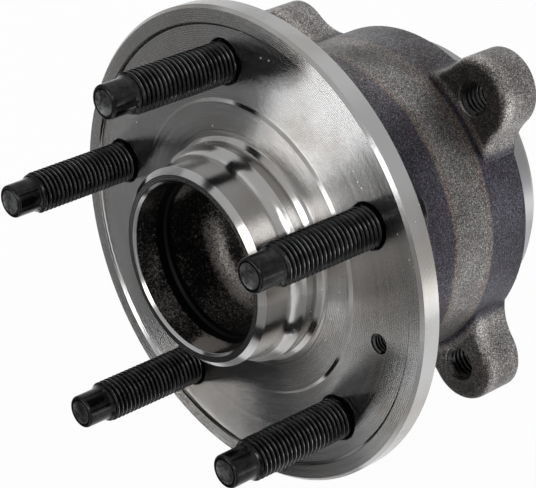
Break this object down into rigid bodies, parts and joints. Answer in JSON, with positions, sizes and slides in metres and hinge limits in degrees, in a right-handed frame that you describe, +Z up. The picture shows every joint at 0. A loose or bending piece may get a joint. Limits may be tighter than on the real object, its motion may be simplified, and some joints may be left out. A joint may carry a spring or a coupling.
{
  "type": "wheel hub bearing",
  "caption": "Flanged wheel hub on a sealed double row ball bearing, with wheel studs, a disc pilot and a lugged outer ring that bolts to the knuckle.",
  "frame": {"origin": "on the bearing axis, in the plane of the flange face that the brake disc seats on", "axes": "+Y runs along the bearing axis, from the wheel side to the knuckle side; +Z is up as pictured; +X is to the right when seen from the wheel side"},
  "size_m": [0.1394, 0.1194, 0.1394],
  "materials": {
    "turned_steel": "satin",
    "ground_steel": "satin",
    "forged_steel": "rough forged scale",
    "pressed_steel": "satin",
    "stud_steel": "black phosphate",
    "ball_steel": "polished",
    "seal_rubber": "matt",
    "magnet_rubber": "matt",
    "cage_plastic": "matt"
  },
  "bodies": {
    "outer_ring": {"outer_ring": "forged_steel", "seal_case": "pressed_steel", "seal_lip": "seal_rubber", "inboard_cap": "pressed_steel"},
    "hub": {"hub": "turned_steel", "inner_ring": "ground_steel", "seal_flinger": "pressed_steel", "encoder_carrier": "pressed_steel", "encoder_ring": "magnet_rubber", "wheel_stud_1": "stud_steel", "wheel_stud_2": "stud_steel", "wheel_stud_3": "stud_steel", "wheel_stud_4": "stud_steel", "wheel_stud_5": "stud_steel"},
    "outboard_row": {"outboard_cage": "cage_plastic", "outboard_ball_01": "ball_steel", "outboard_ball_02": "ball_steel", "outboard_ball_03": "ball_steel", "outboard_ball_04": "ball_steel", "outboard_ball_05": "ball_steel", "outboard_ball_06": "ball_steel", "outboard_ball_07": "ball_steel", "outboard_ball_08": "ball_steel", "outboard_ball_09": "ball_steel", "outboard_ball_10": "ball_steel", "outboard_ball_11": "ball_steel", "outboard_ball_12": "ball_steel", "outboard_ball_13": "ball_steel"},
    "inboard_row": {"inboard_cage": "cage_plastic", "inboard_ball_01": "ball_steel", "inboard_ball_02": "ball_steel", "inboard_ball_03": "ball_steel", "inboard_ball_04": "ball_steel", "inboard_ball_05": "ball_steel", "inboard_ball_06": "ball_steel", "inboard_ball_07": "ball_steel", "inboard_ball_08": "ball_steel", "inboard_ball_09": "ball_steel", "inboard_ball_10": "ball_steel", "inboard_ball_11": "ball_steel", "inboard_ball_12": "ball_steel", "inboard_ball_13": "ball_steel"}
  },
  "joints": [
    {"name": "hub_spin", "type": "hinge", "parent": "outer_ring", "child": "hub", "pos_m": [0, 0, 0], "axis": [0, 1, 0], "continuous": true},
    {"name": "outboard_row_spin", "type": "hinge", "parent": "outer_ring", "child": "outboard_row", "pos_m": [0, 0.0415, 0], "axis": [0, 1, 0], "continuous": true},
    {"name": "inboard_row_spin", "type": "hinge", "parent": "outer_ring", "child": "inboard_row", "pos_m": [0, 0.0625, 0], "axis": [0, 1, 0], "continuous": true}
  ],
  "couplings": [
    {"joint": "outboard_row_spin", "follows": "hub_spin", "ratio": 0.42},
    {"joint": "inboard_row_spin", "follows": "hub_spin", "ratio": 0.42}
  ]
}
